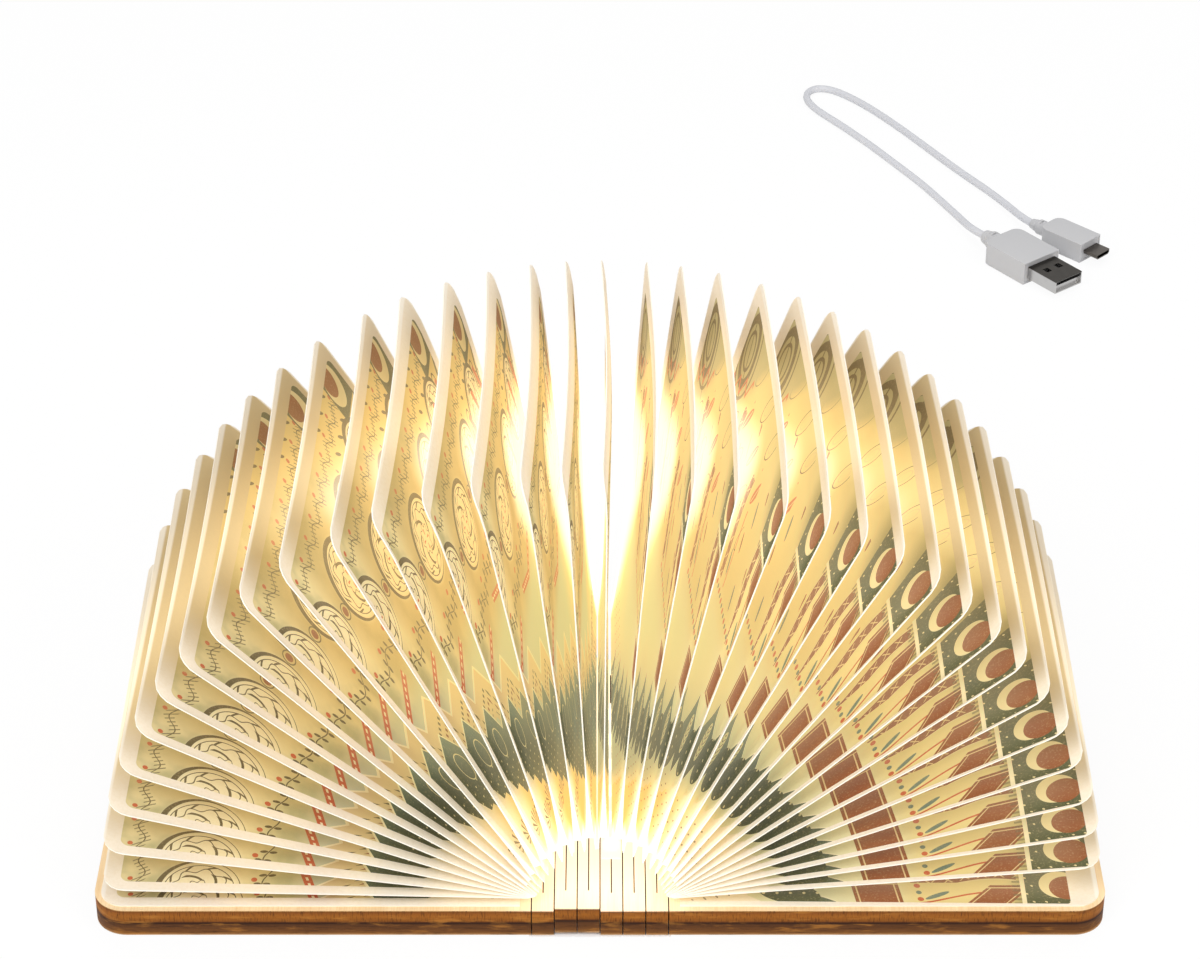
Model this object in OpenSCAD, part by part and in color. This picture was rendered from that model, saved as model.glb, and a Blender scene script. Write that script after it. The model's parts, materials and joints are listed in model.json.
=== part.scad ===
// Folding book lamp, opened flat: two wooden covers, a living-hinge spine, a fan of
// 34 paper pages that share a tunnel of light, and the charging cable beside it.
// Millimetres. X runs across the open covers, Y along the spine, Z up from the table.

/* [Wooden covers] */
// Width of the open lamp across both covers
open_w = 256.6; // [240:0.2:300]
// Depth of the lamp along its spine
cover_d = 107; // [100:1:140]
// Thickness of the inner board of each cover
inner_board_t = 4; // [3.8:0.1:5]
// Thickness of the outer board of each cover
outer_board_t = 3.9; // [3.5:0.1:5]
// Radius of a cover's outer corners
cover_corner_r = 8.5; // [4:0.5:14]

/* [Folding spine] */
// Distance from one full cut to the next
slat_pitch = 5.78; // [5.4:0.02:6.4]
// Width of a laser cut
kerf_w = 0.3; // [0.2:0.05:0.4]
// Wood left at each end of a slat's middle slit
slit_end = 7; // [5:0.5:12]
// How far the second and third slats stand proud when the lamp lies open
slat_lift = 0.8; // [0:0.1:1]

/* [Pages] */
// Thickness of one page, which is two half-sheets bonded along their margins
page_t = 0.3; // [0.2:0.02:0.34]
// Depth of a page along the spine
page_d = 103.6; // [90:0.2:136]
// Distance from the fan's centre to a page's outer edge
fan_r = 125.9; // [110:0.1:145]
// Radius of the light tunnel, where the inner page edges end
tunnel_r = 16; // [12:0.5:20]
// Height of the fan's centre over the inner faces of the covers
fan_rise = 2.7; // [1:0.1:6]
// Radius of a page's outer corners
page_corner_r = 6; // [2:0.5:12]
// How far the left pages lean over towards the right, in degrees
lean_left = 3.3; // [0:0.1:3.6]
// How far the right pages lean, in degrees
lean_right = 0.9; // [0:0.1:1.5]
// Thickness of an endpaper
endpaper_t = 0.25; // [0.15:0.05:0.35]
// Strip of bare cover around an endpaper
endpaper_inset = 1.7; // [1:0.1:4]
// Strip of bare cover between an endpaper and the spine
endpaper_hinge_gap = 2.7; // [0.5:0.1:5]

/* [Light and power] */
// Length of the light strip along the spine
strip_l = 66; // [40:2:80]
// Width of the light strip
strip_w = 4.6; // [3:0.1:5]
// Number of light-emitting diodes on the strip
led_count = 6; // [3:1:7]
// Battery cell, length across the cover
battery_l = 50; // [40:1:55]
// Battery cell, width along the spine
battery_w = 34; // [25:1:36]
// Battery cell, thickness
battery_t = 5; // [4:0.1:5.2]
// Diameter of a holding magnet
magnet_dia = 8; // [5:0.5:10]

/* [Cable] */
// Diameter of the charging cable
cable_dia = 2.6; // [2:0.1:3]
// Length of the body of the larger plug
plug_a_l = 20; // [16:0.5:26]
// Width of the body of the larger plug
plug_a_w = 16; // [14:0.5:18]
// Height of the body of the larger plug
plug_a_h = 8; // [7:0.5:9]
// Length of the body of the smaller plug
plug_b_l = 18; // [14:0.5:22]
// Width of the body of the smaller plug
plug_b_w = 10.6; // [9.5:0.1:12]
// Height of the body of the smaller plug
plug_b_h = 7; // [6:0.5:8]

/* [Hidden] */
$fn = 48;
eps = 0.01;
pages = 34;
slats = 6;
cover_t = inner_board_t + outer_board_t;
spine_w = slats * slat_pitch;
cover_edge = spine_w / 2 + kerf_w / 2;
fan_x = 0.4;
fan_z = cover_t + fan_rise;
proud_slats = [2, 3];

// Pockets in the left cover, shared by both of its boards
pocket_floor = 1.5;
pocket_roof = 1;
pocket_top = cover_t - pocket_roof;
pocket_gap = 1;
rear_wall = 1;
battery_at = [-83, 11];
battery_seal = 1.2;
foil_t = 0.4;
board_w = 16;
board_l = 34;
board_t = 1;
board_at = [-36, cover_d / 2 - rear_wall - board_l / 2];
lead_dia = 1;
lead_ys = [22, 24.5];
lead_room = 2;
lead_groove_h = 3;
socket_w = 7.5;
socket_h = 2.6;
socket_l = 5.6;
socket_gap = 0.3;
socket_inset = 0.4;
socket_back_t = 0.6;
tongue = [3.8, 0.6, 4.4];
mouth_l = 4;

// Parts on the control board, each as its offset from the middle of the board and its size
chip = [[-3, 4], [4, 5, 1.4]];
coil = [[-4, -5], [5, 5, 2]];
capacitors = [for (n = [0 : 3]) [[1, 2.5 * n - 13], [1.6, 0.8, 0.7]]];
reed_dia = 2;
reed_l = 12;
reed_at = [board_at.x + 5, board_at.y - 9];

// Magnets: a pair near each outer edge, and one over the reed switch
magnet_t = 2.5;
magnet_inset = [11, 17];
magnet_gap = 0.05;

led_size = [2.8, 3.5, 0.8];
strip_t = 0.25;

// The cable lies on the table behind the lamp, and these round points are its middle line
wall = 0.35;
relief_l = 7;
relief_tip_l = 2.5;
plug_a_neck = 6.4;
plug_b_neck = 5.2;
neck_step = 0.8;
plug_corner_r = 3;
tail_slope = 14;
shell_a = [13, 12, 4.5];
shell_b = [5.5, 6.85, 1.8];
shell_a_tongue_h = 1.8;
shell_back_t = 1;
latch_hole = [2.4, 2.2];
latch_x = 4.2;
latch_y = 2.6;
plug_a_turn = -52;
plug_b_turn = -45;
cable_r = cable_dia / 2;
route = [
    [131, 302, 4], [128, 306, 3.8], [126, 311, 3], [124.5, 317, 2], [122, 324, 1.4],
    [119, 331, 1.3], [115, 340, 1.3], [111, 348, 1.3], [106, 357, 1.3], [101, 366, 1.3],
    [96, 375, 1.3], [91, 383, 1.3], [86, 391, 1.3], [81, 398, 1.3], [77, 405, 1.3],
    [75.5, 411, 1.3], [76.5, 416, 1.3], [80, 419, 1.3], [85, 418, 1.3], [90, 413.5, 1.3],
    [95, 407.5, 1.3], [100, 400.5, 1.3], [105, 392.5, 1.3], [110, 384, 1.3],
    [115, 375, 1.3], [120, 366, 1.3], [125, 357, 1.3], [130, 348.5, 1.3],
    [135, 340.5, 1.3], [139, 333, 1.4], [142, 326, 1.9], [144, 320, 2.6],
    [146, 315, 3.3], [148, 312, 3.5]
];

// Page k stands at this angle from the left cover, from 0 flat on it to 180 flat on the
// right one. The sine bunches the fan a little to the right of the middle.
function page_angle(k) =
    180 * k / (pages + 1) + (k <= 25 ? lean_left : lean_right) * sin(9 * (k - 5));

// Outline of the right cover, with square corners at the spine
module cover_outline(inset = 0, r = cover_corner_r, hinge_gap = 0) {
    x0 = cover_edge + hinge_gap;
    x1 = open_w / 2 - inset;
    half_d = cover_d / 2 - inset;
    translate([x0, -half_d]) square([x1 - r - x0, 2 * half_d]);
    translate([x0, r - half_d]) square([x1 - x0, 2 * (half_d - r)]);
    for (side = [-1, 1]) translate([x1 - r, side * (half_d - r)]) circle(r);
}

module box_at(centre, size, z0, z1) {
    translate([centre.x - size.x / 2, centre.y - size.y / 2, z0])
        cube([size.x, size.y, z1 - z0]);
}

// Room for the battery, the board, the wires between them and the socket's mouth
module power_pockets() {
    box_at(battery_at, [battery_l + 2 * pocket_gap, battery_w + 2 * pocket_gap],
        pocket_floor, pocket_top);
    box_at([board_at.x, board_at.y - pocket_gap / 2],
        [board_w + 2 * pocket_gap, board_l + pocket_gap], pocket_floor, pocket_top);
    lead_x0 = battery_at.x + battery_l / 2;
    lead_x1 = board_at.x - board_w / 2;
    translate([lead_x0, lead_ys[0] - lead_room, pocket_floor])
        cube([lead_x1 - lead_x0, lead_ys[1] - lead_ys[0] + 2 * lead_room, lead_groove_h]);
    translate([board_at.x - socket_w / 2 - socket_gap, (cover_d - mouth_l) / 2,
        pocket_floor + board_t - socket_gap])
        cube([socket_w + 2 * socket_gap, mouth_l, socket_h + 2 * socket_gap]);
}

// Places of the holding magnets in the right cover
function magnet_places() = [
    for (side = [-1, 1]) [open_w / 2 - magnet_inset.x, side * (cover_d / 2 - magnet_inset.y)]
];

module magnet_discs(places, gap = 0) {
    for (p = places) translate([p.x, p.y, outer_board_t])
        cylinder(d = magnet_dia + 2 * gap, h = magnet_t + gap);
}

function right_magnet_places() = concat(magnet_places(), [[-reed_at.x, reed_at.y]]);

module left_outer_board() {
    color("sienna") difference() {
        linear_extrude(outer_board_t) mirror([1, 0, 0]) cover_outline();
        power_pockets();
    }
}

module left_inner_board() {
    color("burlywood") difference() {
        translate([0, 0, outer_board_t])
            linear_extrude(inner_board_t) mirror([1, 0, 0]) cover_outline();
        power_pockets();
        translate([0, 0, -eps]) mirror([1, 0, 0]) magnet_discs(magnet_places(), magnet_gap);
    }
}

module right_outer_board() {
    color("sienna") linear_extrude(outer_board_t) cover_outline();
}

module right_inner_board() {
    color("burlywood") difference() {
        translate([0, 0, outer_board_t]) linear_extrude(inner_board_t) cover_outline();
        translate([0, 0, -eps]) magnet_discs(right_magnet_places(), magnet_gap);
    }
}

// Slat i of the spine, counted from the left, with the slit that lets it flex
module spine_slat(i) {
    x = -spine_w / 2 + (i - 0.5) * slat_pitch;
    lift = len(search(i, proud_slats)) > 0 ? slat_lift : 0;
    color("burlywood") translate([x, 0, lift + cover_t / 2]) difference() {
        cube([slat_pitch - kerf_w, cover_d, cover_t], center = true);
        cube([kerf_w, cover_d - 2 * slit_end, cover_t + 1], center = true);
    }
}

module endpaper() {
    translate([0, 0, cover_t])
        linear_extrude(endpaper_t)
            cover_outline(endpaper_inset, page_corner_r, endpaper_hinge_gap);
}

module left_endpaper() {
    color("oldlace") mirror([1, 0, 0]) endpaper();
}

module right_endpaper() {
    color("oldlace") endpaper();
}

module page_outline() {
    r = page_corner_r;
    translate([tunnel_r, -page_d / 2]) square([fan_r - tunnel_r - r, page_d]);
    translate([tunnel_r, r - page_d / 2]) square([fan_r - tunnel_r, page_d - 2 * r]);
    for (side = [-1, 1]) translate([fan_r - r, side * (page_d / 2 - r)]) circle(r);
}

module page(k) {
    color("ivory") translate([fan_x, 0, fan_z]) rotate([0, page_angle(k) - 180, 0])
        translate([0, 0, -page_t / 2]) linear_extrude(page_t) page_outline();
}

// The light strip lies on the fourth slat, the first one right of the middle
strip_x = slat_pitch / 2;

module led_strip() {
    color("white") translate([strip_x - strip_w / 2, -strip_l / 2, cover_t])
        cube([strip_w, strip_l, strip_t]);
}

module led_chips() {
    step = strip_l / led_count;
    color("gold") for (n = [0 : led_count - 1])
        translate([strip_x - led_size.x / 2,
            -strip_l / 2 + (n + 0.5) * step - led_size.y / 2, cover_t + strip_t])
            cube(led_size);
}

module battery_cell() {
    middle = pocket_floor + battery_t / 2;
    color("silver") {
        box_at(battery_at, [battery_l, battery_w - 2 * battery_seal],
            pocket_floor, pocket_floor + battery_t);
        box_at(battery_at, [battery_l, battery_w], middle - foil_t / 2, middle + foil_t / 2);
    }
}

module battery_leads() {
    x0 = battery_at.x + battery_l / 2;
    x1 = board_at.x - board_w / 2;
    color("red") for (y = lead_ys)
        translate([x0, y, pocket_floor + lead_dia / 2])
            rotate([0, 90, 0]) cylinder(d = lead_dia, h = x1 - x0);
}

// The board, with its charging chip, coil and capacitors
module control_board() {
    top = pocket_floor + board_t;
    color("seagreen") {
        box_at(board_at, [board_w, board_l], pocket_floor, top);
        for (part = concat([chip, coil], capacitors))
            box_at(board_at + part[0], part[1], top - eps, top + part[1].z);
    }
}

// Mouth of the smaller plug and of its socket: a rectangle with two cut corners
module micro_profile(w, h) {
    cut = 0.35 * h;
    polygon([[-w / 2, h / 2], [w / 2, h / 2], [w / 2, cut - h / 2],
        [w / 2 - cut, -h / 2], [cut - w / 2, -h / 2], [-w / 2, cut - h / 2]]);
}

module micro_usb_socket() {
    back = cover_d / 2 - socket_inset - socket_l;
    color("silver") translate([board_at.x, back, pocket_floor + board_t + socket_h / 2])
        rotate([90, 0, 180]) {
            linear_extrude(socket_back_t) micro_profile(socket_w, socket_h);
            linear_extrude(socket_l) difference() {
                micro_profile(socket_w, socket_h);
                micro_profile(socket_w - 2 * wall, socket_h - 2 * wall);
            }
            translate([-tongue.x / 2, 0, socket_back_t - eps]) cube(tongue);
        }
}

module reed_switch() {
    color("lightgreen")
        translate([reed_at.x, reed_at.y - reed_l / 2, pocket_floor + board_t + reed_dia / 2])
            rotate([-90, 0, 0]) cylinder(d = reed_dia, h = reed_l);
}

module left_magnets() {
    color("gray") mirror([1, 0, 0]) magnet_discs(magnet_places());
}

module right_magnets() {
    color("gray") magnet_discs(right_magnet_places());
}

// A round tube swept along the route: one ring of eight points square to the way at each
// point, joined by flat faces and closed by its first and last ring
ring_sides = 8;
function way(i) = route[min(i + 1, len(route) - 1)] - route[max(i - 1, 0)];
function unit(v) = v / norm(v);
function ring(i) =
    let (t = unit(way(i)), side = unit(cross(t, [0, 0, 1])), up = cross(side, t))
    [for (n = [0 : ring_sides - 1])
        let (a = 360 * n / ring_sides)
        route[i] + cable_r * (cos(a) * side + sin(a) * up)];

module usb_cable() {
    count = len(route);
    points = [for (i = [0 : count - 1]) each ring(i)];
    sides = [for (i = [0 : count - 2]) for (n = [0 : ring_sides - 1])
        let (a = i * ring_sides + n, b = i * ring_sides + (n + 1) % ring_sides)
        [a, b, b + ring_sides, a + ring_sides]];
    first = [for (n = [ring_sides - 1 : -1 : 0]) n];
    last = [for (n = [0 : ring_sides - 1]) (count - 1) * ring_sides + n];
    color("whitesmoke") polyhedron(points, concat([first], sides, [last]));
}

// Sets a plug on the table with its cable end at a point of the route, its nose along +X
module plug_at(p, turn) {
    translate(p) rotate([0, 0, turn]) children();
}

// Body of a plug: rounded as seen from above, with a sloping tail at the cable's end
module plug_body(l, w, h, neck) {
    r = plug_corner_r;
    difference() {
        union() {
            translate([relief_l, 0, -h / 2]) linear_extrude(h) {
                translate([r, -w / 2]) square([l - r, w]);
                translate([0, r - w / 2]) square([l, w - 2 * r]);
                for (side = [-1, 1]) translate([r, side * (w / 2 - r)]) circle(r);
            }
            translate([relief_tip_l, 0, 0]) rotate([0, 90, 0])
                cylinder(d1 = neck - neck_step, d2 = neck, h = relief_l - relief_tip_l + eps);
            rotate([0, 90, 0]) cylinder(d1 = cable_dia + neck_step, d2 = neck - 2 * neck_step,
                h = relief_tip_l + eps);
        }
        for (flip = [0, 1]) mirror([0, 0, flip]) translate([relief_l, 0, h / 2])
            rotate([0, -tail_slope, 0]) translate([-l / 2, -w, 0]) cube([l / 2 + r, 2 * w, h / 2]);
    }
}

module usb_a_plug_body() {
    color("whitesmoke") plug_at(route[0], plug_a_turn)
        plug_body(plug_a_l, plug_a_w, plug_a_h, plug_a_neck);
}

// Steel shell with two square holes above the tongue
module usb_a_plug_shell() {
    bore_w = shell_a.y - 2 * wall;
    color("silver") plug_at(route[0], plug_a_turn) translate([relief_l + plug_a_l, 0, 0]) {
        difference() {
            translate([0, -shell_a.y / 2, -shell_a.z / 2]) cube(shell_a);
            translate([shell_back_t, -bore_w / 2, wall - shell_a.z / 2])
                cube([shell_a.x, bore_w, shell_a.z - 2 * wall]);
            for (side = [-1, 1])
                translate([latch_x, side * latch_y - latch_hole.y / 2, 0])
                    cube([latch_hole.x, latch_hole.y, shell_a.z]);
        }
        translate([shell_back_t - eps, -bore_w / 2, wall - shell_a.z / 2 - eps])
            cube([shell_a.x - 2 * shell_back_t, bore_w, shell_a_tongue_h]);
    }
}

module micro_usb_plug_body() {
    color("whitesmoke") plug_at(route[len(route) - 1], plug_b_turn)
        plug_body(plug_b_l, plug_b_w, plug_b_h, plug_b_neck);
}

module micro_usb_plug_shell() {
    color("dimgray") plug_at(route[len(route) - 1], plug_b_turn)
        translate([relief_l + plug_b_l, 0, 0]) rotate([90, 0, 90]) {
            linear_extrude(shell_back_t) micro_profile(shell_b.y, shell_b.z);
            linear_extrude(shell_b.x) difference() {
                micro_profile(shell_b.y, shell_b.z);
                micro_profile(shell_b.y - 2 * wall, shell_b.z - 2 * wall);
            }
        }
}

left_outer_board();
left_inner_board();
right_outer_board();
right_inner_board();
spine_slat(1);  // spine_slat_1
spine_slat(2);  // spine_slat_2
spine_slat(3);  // spine_slat_3
spine_slat(4);  // spine_slat_4
spine_slat(5);  // spine_slat_5
spine_slat(6);  // spine_slat_6
left_endpaper();
right_endpaper();
page(1);  // page_01
page(2);  // page_02
page(3);  // page_03
page(4);  // page_04
page(5);  // page_05
page(6);  // page_06
page(7);  // page_07
page(8);  // page_08
page(9);  // page_09
page(10);  // page_10
page(11);  // page_11
page(12);  // page_12
page(13);  // page_13
page(14);  // page_14
page(15);  // page_15
page(16);  // page_16
page(17);  // page_17
page(18);  // page_18
page(19);  // page_19
page(20);  // page_20
page(21);  // page_21
page(22);  // page_22
page(23);  // page_23
page(24);  // page_24
page(25);  // page_25
page(26);  // page_26
page(27);  // page_27
page(28);  // page_28
page(29);  // page_29
page(30);  // page_30
page(31);  // page_31
page(32);  // page_32
page(33);  // page_33
page(34);  // page_34
led_strip();
led_chips();
battery_cell();
battery_leads();
control_board();
micro_usb_socket();
reed_switch();
left_magnets();
right_magnets();
usb_cable();
usb_a_plug_body();
usb_a_plug_shell();
micro_usb_plug_body();
micro_usb_plug_shell();
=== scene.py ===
import json
import math

import bmesh
import bpy
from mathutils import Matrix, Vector

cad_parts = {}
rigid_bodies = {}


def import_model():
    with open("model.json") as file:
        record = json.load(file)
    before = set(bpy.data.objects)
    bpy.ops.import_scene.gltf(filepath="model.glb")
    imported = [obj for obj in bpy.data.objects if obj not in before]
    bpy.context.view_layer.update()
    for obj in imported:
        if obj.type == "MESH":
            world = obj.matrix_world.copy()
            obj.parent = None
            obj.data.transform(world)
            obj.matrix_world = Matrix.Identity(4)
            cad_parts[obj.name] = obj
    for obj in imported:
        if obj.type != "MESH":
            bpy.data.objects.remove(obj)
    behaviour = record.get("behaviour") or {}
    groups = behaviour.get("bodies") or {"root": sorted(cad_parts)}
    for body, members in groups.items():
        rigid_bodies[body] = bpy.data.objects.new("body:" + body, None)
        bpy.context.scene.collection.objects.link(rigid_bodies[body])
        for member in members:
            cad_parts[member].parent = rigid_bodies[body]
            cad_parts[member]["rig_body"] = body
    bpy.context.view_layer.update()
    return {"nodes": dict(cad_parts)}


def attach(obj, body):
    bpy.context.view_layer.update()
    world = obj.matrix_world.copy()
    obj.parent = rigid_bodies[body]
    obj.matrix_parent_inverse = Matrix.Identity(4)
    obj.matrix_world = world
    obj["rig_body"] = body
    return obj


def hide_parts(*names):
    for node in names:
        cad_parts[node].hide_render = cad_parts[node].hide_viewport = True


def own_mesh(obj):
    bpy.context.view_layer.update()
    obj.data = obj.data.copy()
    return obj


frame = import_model()
mm = 0.001


def deselectAll():
    for thing in bpy.context.scene.objects:
        thing.select_set(False)


def makeActive(thing):
    deselectAll()
    thing.select_set(True)
    bpy.context.view_layer.objects.active = thing


def applyModifier(thing, kind, **settings):
    makeActive(thing)
    modifier = thing.modifiers.new(kind.lower(), kind)
    for setting, value in settings.items():
        setattr(modifier, setting, value)
    bpy.ops.object.modifier_apply(modifier=modifier.name)


def settle(thing):
    # the piece's place goes into its mesh, as a CAD node's is
    makeActive(thing)
    bpy.ops.object.transform_apply(location=True, rotation=True, scale=True)


camera = {"y": -712.7, "z": 569.2, "pitch": 33.2, "lens": 102.25, "sensor": 36.0}

bpy.ops.object.camera_add(
    location=(0, camera["y"] * mm, camera["z"] * mm),
    rotation=(math.radians(90 - camera["pitch"]), 0, 0),
)
cameraObject = bpy.context.object
cameraObject.data.lens = camera["lens"]
cameraObject.data.sensor_width = camera["sensor"]
cameraObject.data.clip_start = 0.01
bpy.context.scene.camera = cameraObject
print("camera placed")

# the cable lies in a long loop on the table behind the lamp
cable = {"diameter": 2.6, "length": 0.26, "sides": 4, "steps": 6}
cableRoute = [
    (131, 302, 4),
    (128, 306, 3.8),
    (126, 311, 3),
    (124.5, 317, 2),
    (122, 324, 1.4),
    (119, 331, 1.3),
    (115, 340, 1.3),
    (111, 348, 1.3),
    (106, 357, 1.3),
    (101, 366, 1.3),
    (96, 375, 1.3),
    (91, 383, 1.3),
    (86, 391, 1.3),
    (81, 398, 1.3),
    (77, 405, 1.3),
    (75.5, 411, 1.3),
    (76.5, 416, 1.3),
    (80, 419, 1.3),
    (85, 418, 1.3),
    (90, 413.5, 1.3),
    (95, 407.5, 1.3),
    (100, 400.5, 1.3),
    (105, 392.5, 1.3),
    (110, 384, 1.3),
    (115, 375, 1.3),
    (120, 366, 1.3),
    (125, 357, 1.3),
    (130, 348.5, 1.3),
    (135, 340.5, 1.3),
    (139, 333, 1.4),
    (142, 326, 1.9),
    (144, 320, 2.6),
    (146, 315, 3.3),
    (148, 312, 3.5),
]


def makeCable():
    line = bpy.data.curves.new("charging_cable", "CURVE")
    line.dimensions = "3D"
    line.bevel_depth = cable["diameter"] / 2 * mm
    line.bevel_resolution = cable["sides"]
    line.resolution_u = cable["steps"]
    line.use_fill_caps = True
    spline = line.splines.new("NURBS")
    spline.points.add(len(cableRoute) - 1)
    for point, place in zip(spline.points, cableRoute):
        point.co = (*(Vector(place) * mm), 1)
    spline.order_u = 4
    spline.use_endpoint_u = True
    made = bpy.data.objects.new("charging_cable", line)
    bpy.context.scene.collection.objects.link(made)
    return made


cableObject = makeCable()
print("cable laid")


def srgb(red, green, blue):
    parts = [value / 255 for value in (red, green, blue)]
    linear = [v / 12.92 if v < 0.04045 else ((v + 0.055) / 1.055) ** 2.4 for v in parts]
    return (*linear, 1)


class Wire:
    # a socket that can be written in sums
    def __init__(self, finish, socket):
        self.finish = finish
        self.socket = socket

    def maths(self, operation, *values):
        return self.finish.node("ShaderNodeMath", {"operation": operation}, *values)

    def __add__(self, other):
        return self.maths("ADD", self, other)

    def __sub__(self, other):
        return self.maths("SUBTRACT", self, other)

    def __rsub__(self, other):
        return self.maths("SUBTRACT", other, self)

    def __mul__(self, other):
        return self.maths("MULTIPLY", self, other)

    def __truediv__(self, other):
        return self.maths("DIVIDE", self, other)

    def __rtruediv__(self, other):
        return self.maths("DIVIDE", other, self)

    def __pow__(self, other):
        return self.maths("POWER", self, other)

    def __gt__(self, other):
        return self.maths("GREATER_THAN", self, other)

    def __lt__(self, other):
        return self.maths("LESS_THAN", self, other)

    def __abs__(self):
        return self.maths("ABSOLUTE", self)

    __radd__ = __add__
    __rmul__ = __mul__


class Finish:
    def __init__(self, name, **constants):
        self.material = bpy.data.materials.new(name)
        self.material.use_nodes = True
        self.tree = self.material.node_tree
        self.shader = self.tree.nodes["Principled BSDF"]
        self.give(**constants)

    def node(self, kind, settings, *values, out=0, **named):
        made = self.tree.nodes.new(kind)
        for setting, value in settings.items():
            if setting == "stops":
                self.setStops(made.color_ramp, value)
            else:
                setattr(made, setting, value)
        for key, value in list(enumerate(values)) + list(named.items()):
            self.feed(made.inputs[key], value)
        return Wire(self, made.outputs[out])

    def feed(self, socket, value):
        if isinstance(value, Wire):
            self.tree.links.new(value.socket, socket)
        else:
            socket.default_value = value

    def setStops(self, ramp, stops):
        while len(ramp.elements) < len(stops):
            ramp.elements.new(0.5)
        for element, (place, colour) in zip(ramp.elements, stops):
            element.position = place
            element.color = colour

    def give(self, **sockets):
        for name, value in sockets.items():
            self.feed(self.shader.inputs[name.replace("_", " ")], value)

    def place(self):
        return self.node("ShaderNodeTexCoord", {}, out=3)

    def split(self, vector):
        # the three parts of a vector in millimetres
        parts = self.tree.nodes.new("ShaderNodeSeparateXYZ")
        self.feed(parts.inputs[0], vector)
        return [Wire(self, output) * 1000 for output in parts.outputs]

    def join(self, x, y, z):
        return self.node("ShaderNodeCombineXYZ", {}, x, y, z)

    def mix(self, share, first, second, blend="MIX"):
        made = self.tree.nodes.new("ShaderNodeMix")
        made.data_type = "RGBA"
        made.blend_type = blend
        self.feed(made.inputs[0], share)
        self.feed(made.inputs[6], first)
        self.feed(made.inputs[7], second)
        return Wire(self, made.outputs[2])

    def noise(self, vector, scale, detail=3.0, roughness=0.5):
        return self.node(
            "ShaderNodeTexNoise", {}, Vector=vector, Scale=scale, Detail=detail, Roughness=roughness
        )

    def ramp(self, value, stops):
        return self.node("ShaderNodeValToRGB", {"stops": stops}, value)

    def smooth(self, value, low, high):
        return self.node(
            "ShaderNodeMapRange", {"interpolation_type": "SMOOTHSTEP"}, value, low, high, 0.0, 1.0
        )

    def bump(self, height, strength, distance):
        made = self.node("ShaderNodeBump", {}, Strength=strength, Distance=distance, Height=height)
        self.give(Normal=made)

    def highest(self, *values):
        found = values[0]
        for value in values[1:]:
            found = self.node("ShaderNodeMath", {"operation": "MAXIMUM"}, found, value)
        return found

    def sine(self, value):
        return self.node("ShaderNodeMath", {"operation": "SINE"}, value)

    def angle(self, across, along):
        return self.node("ShaderNodeMath", {"operation": "ARCTAN2"}, across, along)

    def turnShare(self, value, period):
        # how far through its period a value is, from 0 to 1
        return self.node("ShaderNodeMath", {"operation": "FRACT"}, value / period)

    def repeat(self, value, period):
        # the distance from the middle of each period
        return (self.turnShare(value, period) - 0.5) * period


def hypot(a, b):
    return (a * a + b * b) ** 0.5


def within(value, low, high):
    return (value > low) * (value < high)


pages = {
    "count": 34,
    "fanX": 0.4,
    "fanZ": 10.6,
    "inner": 16.0,
    "outer": 125.9,
    "rearReach": 1.0,
    "front": -51.8,
    "depth": 104.8,
    "frontCorner": 6.0,
    "rearCorner": 4.5,
    "bond": 0.15,
    "wall": 0.13,
    "mouth": 1.4,
    "flareTo": 28.0,
    "flarePower": 2.2,
    "belly": 0.12,
    "bellyTo": 110,
    "bow": 1.3,
    "twist": 1.5,
    "twistOver": 25,
    "curl": 1.3,
    "curlBetween": (62, 94),
    "closed": 0.1,
    "columns": 26,
}
# how the texture map of a sheet is laid out: its two sides lie next to each other
sheetMap = {"across": 240, "along": 110, "rightSide": 120}
# where each page's outer edge stands, in degrees from the left cover
tips = [1.2, 6.8, 12.7, 18.7, 24.6, 30.3, 35.7, 41, 46.5, 52.4, 59.3, 65, 70.9, 76.4, 81.8, 86.2, 90.6]
tips += [95.6, 99.9, 104.7, 110.3, 115.3, 119.9, 124.7, 129.8, 134.7, 139.7, 144.7, 150, 155.3, 160.4]
tips += [165.8, 170.7, 175.5]
inks = {
    "paper": srgb(248, 237, 218),
    # painted shade for the paper margins, darker away from the front edge on leaning pages
    "paintedShadePaper": srgb(210, 188, 144),
    # painted highlight along the sheet's edges
    "edge": srgb(252, 246, 234),
    "cream": srgb(244, 232, 190),
    "straw": srgb(232, 216, 162),
    "tan": srgb(222, 198, 146),
    "sage": srgb(182, 176, 128),
    "paleSage": srgb(200, 204, 172),
    "olive": srgb(84, 74, 46),
    "green": srgb(62, 76, 50),
    "teal": srgb(98, 124, 112),
    "brick": srgb(140, 70, 34),
    "red": srgb(196, 88, 52),
    "gold": srgb(240, 210, 132),
    "yellow": srgb(228, 222, 176),
    "honey": srgb(197, 173, 105),
    "corn": srgb(230, 212, 146),
    "moss": srgb(146, 136, 84),
    "foot": srgb(247, 233, 202),
}


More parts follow.
